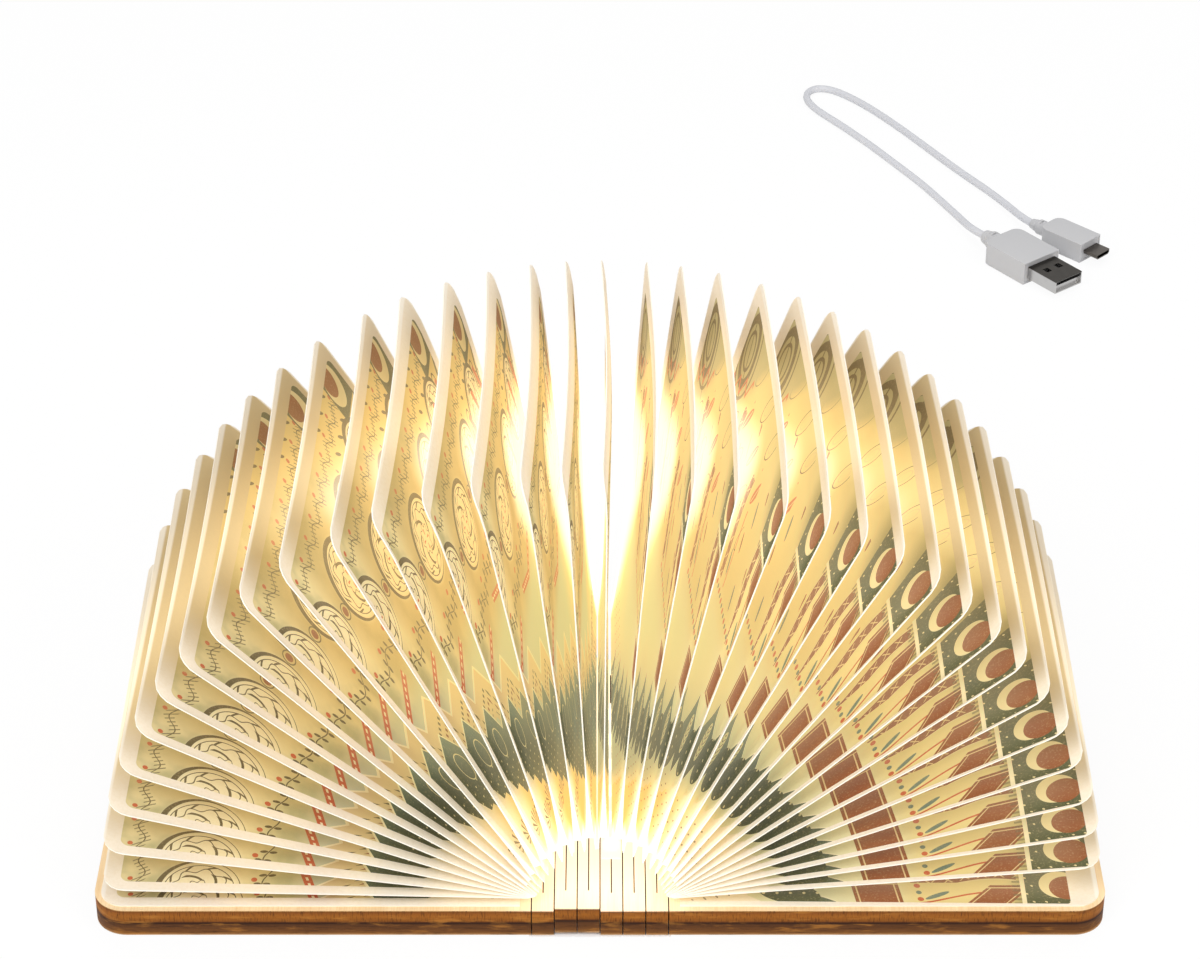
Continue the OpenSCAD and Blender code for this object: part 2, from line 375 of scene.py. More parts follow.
def leftPrint(finish, p, q):
    # p is the distance from the tunnel and q that from the front edge, in millimetres
    cloud = finish.noise(finish.join(p * 0.07, q * 0.07, 0.0), 1.0, 3.0)
    ground = finish.mix(finish.smooth(cloud, 0.38, 0.62), inks["sage"], inks["straw"])
    ground = finish.mix(finish.smooth(q, 6, 18) * 0.7, ground, inks["honey"])
    ground = finish.mix(finish.smooth(p, 64, 50), ground, inks["paleSage"])
    ground = finish.mix(finish.smooth(q + p * 0.2, 60, 90) * 0.6, ground, inks["gold"])
    low = p + q * 0.6

    # large medallions: a swelling ring round fine petals, on a pale field
    across, along = finish.repeat(q + 13, 27), p - 85
    radius = hypot(across, along)
    turn = finish.angle(across, along)
    petals = finish.sine(turn * 8)
    paint = finish.mix(finish.smooth(radius, 12.5, 9), ground, inks["cream"])
    swell = 0.5 + finish.sine(turn + 2.2) * 0.4
    rings = finish.highest(abs(radius - 10.8) < swell, abs(radius - 9.2) < 0.13)
    star = abs(radius - 7.3 - petals * 0.7) < 0.17
    inner = abs(radius - 3.4 - petals * 0.5) < 0.15
    curls = (finish.sine(turn * 5 + radius * 1.5) > 0.8) * within(radius, 3.6, 6.6)
    counter = (finish.sine(turn * 9 - radius * 1.8) > 0.84) * within(radius, 7.9, 9.2)
    lines = finish.highest(rings, star, inner, curls, counter)
    paint = finish.mix(lines, paint, inks["olive"])
    berries = (finish.sine(turn * 4 + 0.8) > 0.86) * within(radius, 1.1, 2.6)
    paint = finish.mix(berries, paint, inks["red"])
    small = hypot(finish.repeat(q - 0.5, 27), p - 85)
    paint = finish.mix(small < 1.3, paint, inks["brick"])
    paint = finish.mix(abs(small - 2.1) < 0.18, paint, inks["olive"])

    # a fine twig with buds beside the outer margin
    sway = finish.sine(q * 0.7) * 1.1
    twig = abs(p - 100.5 - sway) < 0.16
    needles = (abs(finish.repeat(q + (p - 100) * 0.6, 1.5)) < 0.2) * (abs(p - 100.5 - sway) < 1.5)
    paint = finish.mix(finish.highest(twig, needles * 0.8), paint, inks["olive"])
    bud = hypot(finish.repeat(q, 9), p - 103) < 0.7
    paint = finish.mix(bud, paint, inks["red"])

    # thin arches, slanting brick bars and a dark patch towards the back
    back = q > 58
    arches = hypot(finish.repeat(q - 62, 12) * 1.5, (p - 84) * 0.55)
    paint = finish.mix(within(arches, 4.4, 4.8) * back * (p > 80), paint, inks["olive"])
    paint = finish.mix(within(arches, 2.4, 2.6) * back * (p > 80), paint, inks["tan"])
    bars = abs(finish.repeat(q - 56 + (p - 80) * 0.5, 12)) < 1.1
    paint = finish.mix(bars * back * within(p, 76, 90), paint, inks["red"])
    patch = (q > 86) * (p > 94)
    paint = finish.mix(patch, paint, inks["green"])
    disc = hypot(q - 93, p - 102)
    paint = finish.mix((disc < 6.3) * patch, paint, inks["straw"])
    paint = finish.mix((hypot(q - 92, p - 104) < 4.6) * patch, paint, inks["brick"])
    tick = hypot(finish.repeat(q + p, 8), finish.repeat(p - 2, 9) * 0.7) < 0.8
    paint = finish.mix(tick * within(q, 60, 86) * (p > 92), paint, inks["olive"])

    # a garland of leaves and berries over a slanting brick ribbon
    wave = finish.sine(q * 0.465) * 1.4
    stem = abs(p - 67.5 - wave) < 0.18
    leaf = hypot(finish.repeat(q + 1.5, 3.2) * 1.9, abs(p - 67.5 - wave) - 1.2) < 0.95
    berry = hypot(finish.repeat(q, 9.6), p - 71) < 0.8
    paint = finish.mix(finish.highest(stem, leaf), paint, inks["olive"])
    paint = finish.mix(berry, paint, inks["red"])
    slant = p + abs(finish.repeat(q - 3, 40)) * 0.35 - 63.5
    ribbon = (abs(slant) < 1.25) * (abs(finish.repeat(q + 17, 40)) < 14)
    stitch = (abs(slant) < 0.35) * (abs(finish.repeat(q, 2.2)) < 0.6)
    paint = finish.mix(ribbon, paint, inks["red"])
    paint = finish.mix(stitch * ribbon, paint, inks["cream"])

    # a straw band with small dark and brick checks
    peak = abs(finish.repeat(q - 6, 21))
    tilt = low + peak * 0.9
    paint = finish.mix(within(tilt, 47, 63), paint, inks["tan"])
    paint = finish.mix(abs(tilt - 63) < 0.5, paint, inks["cream"])
    check = within(tilt, 49.5, 58) * (abs(finish.repeat(q + p * 0.3, 1.8)) < 0.42)
    check = check * (abs(finish.repeat(tilt, 3.4)) < 0.6)
    turned = finish.turnShare(tilt, 6.8) > 0.5
    paint = finish.mix(check, paint, finish.mix(turned, inks["olive"], inks["brick"]))

    # rising scales, teal above and dark green below, with pale rims
    arch = finish.repeat(q - 3, 14)
    crown = 51 - abs(arch) * 1.15
    paint = finish.mix(low < crown + 0.8, paint, inks["cream"])
    scale = finish.mix(finish.smooth(p + q * 1.2, 38, 58), inks["green"], inks["teal"])
    paint = finish.mix(low < crown, paint, scale)
    nest = hypot(arch * 1.5, low - 40)
    paint = finish.mix(abs(nest - 4.4) < 0.22, paint, inks["straw"])
    seeds = hypot(finish.repeat(q, 3), finish.repeat(p, 3.4)) < 0.3
    paint = finish.mix(seeds * (low < 36), paint, inks["straw"])

    # the golden foot by the tunnel, with small fans of strokes
    foot = p + q + abs(finish.repeat(q, 6)) * 0.9
    paint = finish.mix(foot < 30.5, paint, finish.mix(finish.smooth(q, 3, 12), inks["foot"], inks["gold"]))
    sprig = finish.repeat(q - 3, 7.2)
    turn = finish.angle(sprig, p - 9)
    strokes = (finish.sine(turn * 14) > 0.35) * within(hypot(sprig, p - 9), 0.9, 4.6)
    return finish.mix(strokes * (p > 8.5) * 0.8, paint, inks["olive"])


def brickBlock(finish, paint, tilt, q, low, high, width):
    # a solid block at the front edge with a pale line inside its rim
    inside = within(tilt, low, high) * (q < width)
    line = finish.highest(abs(tilt - low - 1.1) < 0.2, abs(tilt - high + 1.1) < 0.2)
    line = finish.highest(line * (q < width - 0.8), within(q, width - 1.2, width - 0.8))
    paint = finish.mix(inside, paint, inks["brick"])
    return finish.mix(inside * line, paint, inks["tan"]), inside


def rightPrint(finish, p, q):
    paint = finish.mix(finish.smooth(p, 56, 66), inks["yellow"], inks["corn"])
    paint = finish.mix(finish.smooth(hypot(q * 0.8, p - 107), 23, 14) * 0.8, paint, inks["moss"])
    low = p + q * 0.6

    # brick ribbons in slow waves, with a pale twist inside
    wave = finish.sine(p * 0.13) * 2.4
    lane = finish.repeat(q + wave + 5.5, 31)
    ends = within(p, 63, 90) * (q > 9)
    paint = finish.mix((abs(lane) < 2.2) * ends, paint, inks["straw"])
    paint = finish.mix((abs(lane) < 1.7) * ends, paint, inks["brick"])
    twist = abs(abs(lane) - abs(finish.repeat(p, 4.4))) < 0.25
    paint = finish.mix(twist * (abs(lane) < 1.2) * ends, paint, inks["tan"])
    thin = abs(finish.repeat(q + wave + 12.5, 31)) < 0.3
    paint = finish.mix(thin * within(p, 64, 84), paint, inks["red"])

    # solid brick blocks near the front, edged with a pale line
    paint, first = brickBlock(finish, paint, p + q * 0.15, q, 49, 61, 9.5)
    paint, second = brickBlock(finish, paint, p - q * 0.9, q, 76, 87, 8.0)

    # leaning teal leaves, brick drops and small beads
    lean = finish.repeat(q - p * 0.45 + 4, 15.5)
    leaf = hypot(lean * 1.7, finish.repeat(p - 3, 19) * 0.42)
    clear = (abs(lane) > 3.2) * (1 - finish.highest(first, second))
    paint = finish.mix((leaf < 1.3) * within(p, 62, 98) * clear, paint, inks["teal"])
    drop = hypot(finish.repeat(q - p * 0.45 - 3, 15.5) * 1.8, finish.repeat(p + 7, 19) * 0.5)
    paint = finish.mix((drop < 1.2) * within(p, 62, 98) * clear, paint, inks["brick"])
    bead = hypot(finish.repeat(q, 5.2), p - 65.5 + q * 0.12)
    other = hypot(finish.repeat(q - 2.6, 5.2), p - 65.5 + q * 0.12)
    paint = finish.mix((bead < 0.8) * (q < 40), paint, inks["red"])
    paint = finish.mix((other < 0.7) * (q < 40), paint, inks["teal"])

    # a dark patch at the front corner with half a target in it
    front = (p > 92) * (q < 15 + (p - 92) * 0.25)
    paint = finish.mix(within(p, 90.8, 92.1) * (q < 15.6), paint, inks["cream"])
    paint = finish.mix(front, paint, inks["green"])
    target = hypot(q - 8.2, p - 100.8)
    paint = finish.mix((target < 5.2) * front, paint, inks["straw"])
    paint = finish.mix((hypot(q - 7, p - 102.6) < 4.5) * front, paint, inks["brick"])
    dots = hypot(finish.repeat(q, 3.1), finish.repeat(p + q * 0.5, 3.1)) < 0.33
    paint = finish.mix(dots * front * (target > 6.8), paint, inks["straw"])
    comb = (abs(finish.repeat(q, 1.7)) < 0.4) * within(p, 88.8, 90.8) * (q < 15.6)
    paint = finish.mix(comb * 0.6, paint, inks["olive"])

    # brick leaves and thin hoops further back
    lean = finish.repeat(q + p * 0.5 - 4, 17)
    blade = hypot(lean * 1.3, finish.repeat(p - 6, 24) * 0.45)
    back = within(q, 34, 84) * (p > 70)
    paint = finish.mix((blade < 2.0) * back, paint, inks["red"])
    paint = finish.mix((abs(lean) < 0.2) * (blade < 1.7) * back, paint, inks["straw"])
    hoop = hypot(finish.repeat(q + p * 0.5 + 4.5, 17) * 1.3, finish.repeat(p + 5, 24) * 0.6)
    paint = finish.mix(within(hoop, 3.3, 3.6) * back, paint, inks["olive"])
    paint = finish.mix(within(hoop, 1.7, 1.95) * back, paint, inks["tan"])

    # the rear corner: loops and a zigzag on a duller ground
    deep = finish.smooth(q + (p - 80) * 0.8, 84, 92) * finish.smooth(p, 70, 80)
    paint = finish.mix(deep, paint, inks["sage"])
    loops = hypot(q - 91, (p - 97) * 0.8)
    dark = finish.highest(abs(loops - 7.2) < 1.1, abs(loops - 4.2) < 0.45, abs(loops - 10.4) < 0.4)
    slash = abs(q - 91 - (p - 97) * 0.4) < 0.35
    paint = finish.mix(finish.highest(dark, slash) * deep, paint, inks["olive"])
    zigzag = abs(p - 86 + (q - 88) * 0.5 - abs(finish.repeat(q, 7)) * 1.4) < 0.7
    paint = finish.mix(zigzag * (q > 76), paint, inks["red"])

    # long leaves of dark green with a pale heart
    across, along = finish.repeat(q - 5, 15), low - 40
    blade = abs(across) * (1.25 + finish.smooth(along, 2, 14) * 1.1) + abs(along) * 0.72
    paint = finish.mix(blade < 9.8, paint, inks["cream"])
    leafInk = finish.mix(finish.smooth(p + q * 0.9, 36, 56), inks["green"], inks["teal"])
    paint = finish.mix(blade < 9.1, paint, leafInk)
    heart = hypot((across + 1.2) * 3.4, along)
    paint = finish.mix(heart < 6.2, paint, inks["straw"])
    ribs = abs(finish.repeat(along - abs(across + 1.2) * 1.2, 1.9)) < 0.24
    paint = finish.mix(ribs * (heart < 5.4), paint, inks["olive"])
    pod = hypot(finish.repeat(q + 2.5, 15) * 1.7, low - 35)
    paint = finish.mix(pod < 7.4, paint, inks["green"])
    grain = hypot(finish.repeat(q + 2.5, 15), finish.repeat(p, 3.4)) < 0.42
    paint = finish.mix(grain * (low < 44), paint, inks["straw"])

    # the seeded foot by the tunnel
    foot = p + q + abs(finish.repeat(q, 4)) * 0.5
    paint = finish.mix(foot < 26.5, paint, finish.mix(finish.smooth(q, 3, 12), inks["foot"], inks["gold"]))
    seeds = hypot(finish.repeat(q + p, 3.8), finish.repeat(p, 3))
    return finish.mix((seeds < 0.42) * within(p, 6, 17) * 0.7, paint, inks["olive"])


# unprinted margins in millimetres; the lead brings the print forward on upright pages
prints = {
    "left": {
        "draw": leftPrint,
        "outer": 4.4,
        "front": 3.0,
        "rear": 3.0,
        "corner": 2.4,
        "slant": 0.004,
        "slantFrom": 40,
        "lead": 1.7,
    },
    "right": {
        "draw": rightPrint,
        "outer": 3.4,
        "front": 1.6,
        "rear": 5.6,
        "corner": 1.0,
        "slant": -0.013,
        "slantFrom": 40,
        "lead": 0.0,
    },
}


def printedArea(finish, p, q, kind, outer):
    # one inside the unprinted margins
    sheet = prints[kind]
    corner = sheet["corner"]
    low, high = sheet["front"] + corner, pages["depth"] - sheet["rear"] - corner
    q = q - (p - sheet["slantFrom"]) * sheet["slant"]
    a = finish.highest(abs(q - (low + high) / 2) - (high - low) / 2, 0.0)
    b = finish.highest(p - (pages["outer"] - pages["inner"] - outer - corner), 0.0)
    return hypot(a, b) < corner


def inkedPaper(finish, p, q, kind, outer):
    place = finish.place()
    deep = finish.smooth(q, 1, 24)
    x, _, z = finish.split(place)
    lean = leanOf(finish, x, hypot(x - pages["fanX"], z - pages["fanZ"]))
    # painted shade: on the leaning pages the margin darkens away from the front edge, where the sheets
    # shade each other
    margin = finish.mix(deep * finish.smooth(lean, 0.3, 0.7), inks["paper"], inks["paintedShadePaper"])
    outer = outer + finish.smooth(lean, 0.3, 0.12) * 2.5
    fibre = finish.noise(finish.join(p * 0.9, q * 0.9, 0.0), 1.0, 4.0, 0.7)
    margin = finish.mix(finish.smooth(fibre, 0.4, 0.7) * 0.16, margin, inks["tan"])
    far = pages["depth"] / 2
    # painted highlight: a pale line along the outer, front and back edges of each sheet
    paintedEdgeHighlight = finish.highest(finish.smooth(p, 109.1, 109.8), finish.smooth(abs(q - far), far - 0.7, far - 0.2))
    margin = finish.mix(paintedEdgeHighlight * 0.8, margin, inks["edge"])
    ink = prints[kind]["draw"](finish, p, q)
    speck = finish.smooth(finish.noise(place, 1700, 2.0, 0.6), 0.5, 0.8)
    ink = finish.mix(speck * 0.3, ink, inks["tan"])
    wash = finish.noise(place, 70, 3.0)
    ink = finish.mix(wash * 0.2, ink, inks["tan"])
    # painted shade: the print turns tan and darker away from the front edge
    ink = finish.mix(deep * 0.2, ink, inks["tan"])
    finish.bump(finish.noise(place, 900, 4.0, 0.6), 0.12, 0.0002)
    lead = finish.smooth(lean, 0.7, 0.35) * prints[kind]["lead"]
    return finish.mix(printedArea(finish, p, q + lead, kind, outer), margin, ink)


glow = {
    "warm": srgb(248, 250, 232),
    "white": srgb(255, 249, 232),
    "wash": (0.22, 0.64),
    "washOver": (0.45, 0.95),
    "half": (48, 30, 88, 0.75),
    "depth": (-14, 20),
    "fall": (122, 94),
    "fallShift": (0.35, 17.5, 22),
    "lean": (0.35, 1.05, 0.66),
    "inside": {"left": 0.37, "right": 0.48},
    "margin": (0, 9),
    "edge": (128, 112),
    "rear": (108, 84),
    "level": (0.55, 1.0),
    "dim": {"left": 0.8, "right": 0.3},
    "near": (46, 30, 0.45),
    "foot": (24, 16),
    "mouth": (16, 5),
    "power": 0.9,
}


def leanOf(finish, x, r):
    # 0 for an upright page and 1 for a level one
    return abs(x - pages["fanX"]) / (r + 1)


def lampGlow(finish, paint, q, kind):
    # light of the strip in the tunnel, on and through the sheets
    x, y, z = finish.split(finish.place())
    r = hypot(x - pages["fanX"], z - pages["fanZ"])
    lean = leanOf(finish, x, r)
    start, sooner, below, later = glow["half"]
    half = start - lean * sooner + finish.highest(below - r, 0.0) * later
    deep = finish.smooth(q - half, *glow["depth"])
    sloped, less, lower = glow["fallShift"]
    fall = finish.smooth(r + q * sloped - less - lean * lower, *glow["fall"])
    upright, level, share = glow["lean"]
    middle = 1 - finish.smooth(lean, upright, level) * share
    aside = finish.smooth(lean, *glow["level"])
    steep = 1 - aside * 0.8
    inside = finish.smooth(q, *glow["margin"]) * finish.smooth(r, *glow["edge"]) * glow["inside"][kind]
    inside = inside * finish.smooth(q + (r - 100) * 0.5, *glow["rear"])
    inside = inside * (1 - aside * glow["dim"][kind])
    low, high, most = glow["near"]
    near = finish.smooth(r, low, high) * most
    foot = finish.smooth(r, *glow["foot"]) * finish.smooth(q, *glow["mouth"])
    strength = finish.highest(deep * fall * middle, inside, near * steep, foot * steep)
    lit = finish.mix(1.0, paint, glow["warm"], "MULTIPLY")
    least, more = glow["wash"]
    pale = finish.mix(least + finish.smooth(strength, *glow["washOver"]) * more, lit, glow["white"])
    shining = finish.mix(strength, (0, 0, 0, 1), pale)
    finish.give(Base_Color=paint, Emission_Color=shining, Emission_Strength=glow["power"])


def makePagePaper(kind):
    finish = Finish(f"{kind}_printed_paper", Roughness=0.82, Specular_IOR_Level=0.2)
    u, v, _ = finish.split(finish.node("ShaderNodeUVMap", {"uv_map": "sheet"}))
    p = u * (sheetMap["across"] / 1000) - (0 if kind == "left" else sheetMap["rightSide"])
    q = v * (sheetMap["along"] / 1000)
    paint = inkedPaper(finish, p, q, kind, prints[kind]["outer"])
    lampGlow(finish, paint, q, kind)
    finish.material.cycles.emission_sampling = "NONE"
    return finish.material


def makeLining(kind, outer):
    # the sheet glued to a cover
    finish = Finish(f"{kind}_lining_paper", Roughness=0.82, Specular_IOR_Level=0.2)
    x, y, z = finish.split(finish.place())
    p = abs(x) - pages["inner"]
    q = y - pages["front"]
    paint = inkedPaper(finish, p, q, kind, outer)
    lampGlow(finish, paint, q, kind)
    finish.material.cycles.emission_sampling = "NONE"
    return finish.material


wood = {
    "thickness": 7.9,
    "top": srgb(250, 224, 182),
    "topStreak": srgb(228, 184, 124),
    "bottom": srgb(176, 126, 78),
    "bottomStreak": srgb(140, 92, 52),
    "char": srgb(50, 26, 10),
    "light": srgb(186, 124, 52),
    "glowWidth": 30,
    "shine": 0.8,
}
# the pale first and last stops are a painted highlight along the lower and upper arris; the stops between
# are the burnt layers
burntEdgeWithArrisHighlights = [
    (0.0, srgb(206, 172, 132)),
    (0.05, srgb(150, 104, 58)),
    (0.11, srgb(112, 70, 32)),
    (0.24, srgb(98, 60, 28)),
    (0.42, srgb(84, 50, 24)),
    (0.47, srgb(44, 22, 10)),
    (0.51, srgb(60, 30, 12)),
    (0.57, srgb(128, 74, 22)),
    (0.76, srgb(150, 90, 28)),
    (0.88, srgb(138, 80, 26)),
    (0.95, srgb(116, 66, 24)),
    (1.0, srgb(206, 160, 100)),
]


def makeWood(name, lift):
    # bare faces above and below, and laser-burnt edges between them, with a painted highlight along their
    # lower and upper arris
    finish = Finish(name, Roughness=0.6, Specular_IOR_Level=0.15)
    place = finish.place()
    x, y, z = finish.split(place)
    height = z - lift
    fine = finish.noise(finish.join(x * 2.2, y * 0.07, z * 2.0), 1.0, 5.0, 0.65)
    broad = finish.noise(finish.join(x * 0.25, y * 0.012, z * 0.3), 1.0, 3.0, 0.5)
    top = finish.mix(finish.smooth(fine, 0.35, 0.75) * 0.45, wood["top"], wood["topStreak"])
    top = finish.mix(finish.smooth(broad, 0.4, 0.7) * 0.3, top, wood["topStreak"])
    bottom = finish.mix(finish.smooth(fine, 0.3, 0.7), wood["bottom"], wood["bottomStreak"])

    burntWithArrisHighlight = finish.ramp(height / wood["thickness"], burntEdgeWithArrisHighlights)
    comb = finish.noise(finish.join(x * 2.6, y * 2.6, z * 0.35), 1.0, 4.0, 0.7)
    layer = finish.noise(finish.join(x * 0.16, y * 0.16, z * 2.6), 1.0, 4.0, 0.7)
    upper = height > wood["thickness"] / 2
    streak = finish.mix(upper, layer, comb)
    burntWithArrisHighlight = finish.mix(finish.smooth(streak, 0.48, 0.7) * 0.7, burntWithArrisHighlight, wood["char"])
    patch = finish.noise(finish.join(x * 0.09, y * 0.09, z * 0.5), 1.0, 4.0, 0.6)
    burntWithArrisHighlight = finish.mix(finish.smooth(patch, 0.52, 0.7) * 0.5, burntWithArrisHighlight, wood["light"])
    paint = finish.mix(height < wood["thickness"] - 0.02, top, burntWithArrisHighlight)
    paint = finish.mix(height < 0.02, paint, bottom)
    finish.bump(fine, 0.2, 0.0003)

    # the strip's light on the slats
    near = finish.smooth(abs(x), wood["glowWidth"], 6) * finish.smooth(abs(y), 80, 36)
    shine = finish.smooth(height, wood["thickness"] - 0.5, wood["thickness"] - 0.02) * near
    lit = finish.mix(shine, (0, 0, 0, 1), glow["white"])
    finish.give(Base_Color=paint, Emission_Color=lit, Emission_Strength=wood["shine"])
    finish.material.cycles.emission_sampling = "NONE"
    return finish.material


def plainFinish(name, colour, roughness, metallic=0.0, mottle=0.08, scale=300, strength=0.1, shine=0.0):
    finish = Finish(name, Metallic=metallic, Emission_Color=colour, Emission_Strength=shine)
    spots = finish.noise(finish.place(), scale, 4.0, 0.6)
    darker = tuple(part * 0.75 for part in colour[:3]) + (1,)
    finish.give(
        Base_Color=finish.mix(spots * mottle * 2, colour, darker),
        Roughness=spots * 0.12 + (roughness - 0.06),
    )
    finish.bump(spots, strength, 0.0001)
    return finish.material


def makePhosphor():
    finish = Finish("phosphor", Roughness=0.4)
    grain = finish.noise(finish.place(), 2500, 3.0)
    phosphor = finish.mix(grain * 0.4, srgb(255, 226, 150), srgb(250, 205, 110))
    finish.give(Base_Color=phosphor, Emission_Color=srgb(255, 244, 214), Emission_Strength=1.6)
    return finish.material


def makePlugSteel():
    # painted dark reflection on the top face, plain bright steel at the folded sides
    finish = Finish("plug_steel", Metallic=1.0)
    x, y, z = finish.split(finish.place())
    spots = finish.noise(finish.place(), 260, 4.0, 0.6)
    # painted reflection: the top face is darkened as if it mirrored dark surroundings
    paintedDarkTop = finish.smooth(z, 5.7, 6.15)
    bright = finish.mix(spots * 0.3, srgb(196, 195, 194), srgb(150, 148, 146))
    dark = finish.mix(spots * 0.5, srgb(50, 47, 43), srgb(88, 84, 79))
    finish.give(Base_Color=finish.mix(paintedDarkTop, bright, dark), Roughness=spots * 0.12 + 0.24)
    finish.bump(spots, 0.05, 0.0001)
    return finish.material


leftPaper = makePagePaper("left")
rightPaper = makePagePaper("right")
leftLining = makeLining("left", 3.3)
rightLining = makeLining("right", 6.9)
boardWood = makeWood("plywood_boards", 0.0)
raisedWood = makeWood("plywood_raised_slats", 0.8)
print("paper and wood mixed")

plastic = plainFinish("white_moulding", srgb(188, 188, 190), 0.45, 0.0, 0.02, 500, 0.03)
jacket = plainFinish("cable_jacket", srgb(205, 206, 211), 0.5, 0.0, 0.02, 260, 0.02)
steel = plainFinish("plated_steel", srgb(206, 206, 208), 0.26, 1.0, 0.1, 220, 0.05)
darkSteel = plainFinish("dark_plated_steel", srgb(96, 91, 86), 0.3, 1.0, 0.2, 260, 0.05)
foil = plainFinish("battery_pouch", srgb(196, 198, 202), 0.35, 1.0, 0.15, 120, 0.2)
wireRed = plainFinish("wire_jacket", srgb(168, 36, 28), 0.4, 0.0, 0.05, 400, 0.04)
boardGreen = plainFinish("solder_mask", srgb(28, 96, 48), 0.35, 0.0, 0.2, 200, 0.08)
# painted glow: the tape around the chips emits light of its own
stripTapePaintedGlow = plainFinish("strip_tape_painted_glow", srgb(246, 242, 230), 0.6, 0.0, 0.05, 300, 0.08, 0.8)
glassTube = plainFinish("reed_glass", srgb(190, 205, 190), 0.15, 0.0, 0.05, 200, 0.02)
nickel = plainFinish("nickel_plate", srgb(190, 190, 194), 0.25, 1.0, 0.1, 200, 0.04)
nodeFinish = {
    "left_outer_board": boardWood,
    "right_outer_board": boardWood,
    "left_inner_board": boardWood,
    "right_inner_board": boardWood,
    "left_endpaper": leftLining,
    "right_endpaper": rightLining,
    "led_strip": stripTapePaintedGlow,
    "led_chips": makePhosphor(),
    "battery_cell": foil,
    "battery_leads": wireRed,
    "control_board": boardGreen,
    "micro_usb_socket": steel,
    "reed_switch": glassTube,
    "left_magnets": nickel,
    "right_magnets": nickel,
    "usb_a_plug_shell": makePlugSteel(),
    "micro_usb_plug_shell": darkSteel,
}
for slat in range(1, 7):
    nodeFinish[f"spine_slat_{slat}"] = raisedWood if slat in (2, 3) else boardWood
for name, material in nodeFinish.items():
    node = frame["nodes"][name]
    node.data.materials.clear()
    node.data.materials.append(material)
print("bought-in and wooden parts finished")


def around(radius, degrees):
    angle = math.radians(degrees)
    fan = Vector((pages["fanX"], 0, pages["fanZ"]))
    return fan + Vector((-math.cos(angle), 0, math.sin(angle))) * radius


feet = {"spread": 86, "crowdFrom": 58, "crowding": 1.75, "drift": 4, "rise": 2.5, "riseFrom": 45}


def footPlace(number):
    # the feet spread over the arch in the middle and crowd together at its ends
    inside = min(max(number, 1), pages["count"])
    lean = tips[inside - 1] - 90
    share = 1 - (1 - min(abs(lean) / feet["crowdFrom"], 1)) ** feet["crowding"]
    foot = math.copysign(feet["spread"] * share + feet["drift"] * abs(lean) / 90, lean)
    out = feet["rise"] * max(0.0, abs(lean) / feet["riseFrom"] - 1)
    return around(pages["inner"] + out, 90 + foot)


def depthRows():
    # rows from front to back, close together round the outer corners
    turns = (0, 20, 40, 60, 90)
    front = [pages["frontCorner"] * (1 - math.cos(math.radians(a))) for a in turns]
    rear = [pages["rearCorner"] * (1 - math.cos(math.radians(a))) for a in turns]
    low, high = pages["frontCorner"], pages["depth"] - pages["rearCorner"]
    middle = [low + (high - low) * step / 10 for step in range(1, 10)]
    return front + middle + [pages["depth"] - q for q in reversed(rear)]


def reachAt(q):
    outer = pages["outer"] + pages["rearReach"] * q / pages["depth"]
    atRear = q > pages["depth"] / 2
    corner = pages["rearCorner" if atRear else "frontCorner"]
    edge = pages["depth"] - q if atRear else q
    if edge >= corner:
        return outer
    return outer - corner + math.sqrt(corner**2 - (corner - edge) ** 2)


def gapHalf(number, side, away, q):
    # how far a half-sheet stands off the page's middle plane, from its foot outwards
    mouth = (footPlace(number + side) - footPlace(number)).length / 2 - 0.05
    mouth = min(mouth, pages["mouth"])
    share = max(0.0, 1 - away / pages["flareTo"])
    flare = max(0.0, mouth - pages["bond"]) * share ** pages["flarePower"]
    edge = min(q, pages["depth"] - q)
    swell = math.sin(math.pi * min(1, away / pages["bellyTo"]))
    belly = pages["belly"] * swell * min(1, edge / 8)
    return pages["bond"] + flare + belly


def shapeSheet(leaf, number, side, rows):
    # bends a flat grid into one half-sheet of a page
    foot = footPlace(number)
    tip = tips[number - 1]
    full = (around(pages["outer"], tip) - foot).length
    twist = pages["twist"] * max(-1, min(1, (90 - tip) / pages["twistOver"]))
    low, high = pages["curlBetween"]
    curl = pages["curl"] if low < tip < high else 0
    sheetPlace = {}
    for vertex in leaf.data.vertices:
        share = ((vertex.co.x + 1) / 2) ** 1.3
        q = rows[round((vertex.co.y + 1) / 2 * (len(rows) - 1))]
        length = around(reachAt(q), tip + twist * q / pages["depth"]) - foot
        lengthways = length.normalized()
        up = Vector((lengthways.z, 0, -lengthways.x))
        away = length.length * share
        bow = pages["bow"] * (0.35 + 0.65 * lengthways.z)
        bow = bow * math.sin(math.pi * q / pages["depth"]) * share**1.5
        bow -= curl * max(0.0, away / full * 10 - 9) ** 2
        place = foot + lengthways * away + up * (bow + side * gapHalf(number, side, away, q))
        place.y = pages["front"] + q
        vertex.co = place * mm
        p = away * (pages["outer"] - pages["inner"]) / full
        sheetPlace[vertex.index] = (p, q)
    leaf.data.uv_layers[0].name = "sheet"
    uv = leaf.data.uv_layers[0].data
    start = 0 if side > 0 else sheetMap["rightSide"]
    for loop in leaf.data.loops:
        p, q = sheetPlace[loop.vertex_index]
        uv[loop.index].uv = ((p + start) / sheetMap["across"], q / sheetMap["along"])


def makePage(number):
    rows = depthRows()
    leaves = []
    for side, sheetPaper in ((1, leftPaper), (-1, rightPaper)):
        deselectAll()
        bpy.ops.mesh.primitive_grid_add(
            x_subdivisions=pages["columns"], y_subdivisions=len(rows) - 1, size=2, calc_uvs=True
        )
        leaf = bpy.context.object
        leaf.data.materials.append(sheetPaper)
        shapeSheet(leaf, number, side, rows)
        leaves.append(leaf)
    makeActive(leaves[0])
    leaves[1].select_set(True)
    bpy.ops.object.join()
    page = leaves[0]
    page.name = f"paper_page_{number:02d}"
    closeSheets(page, number)
    return page


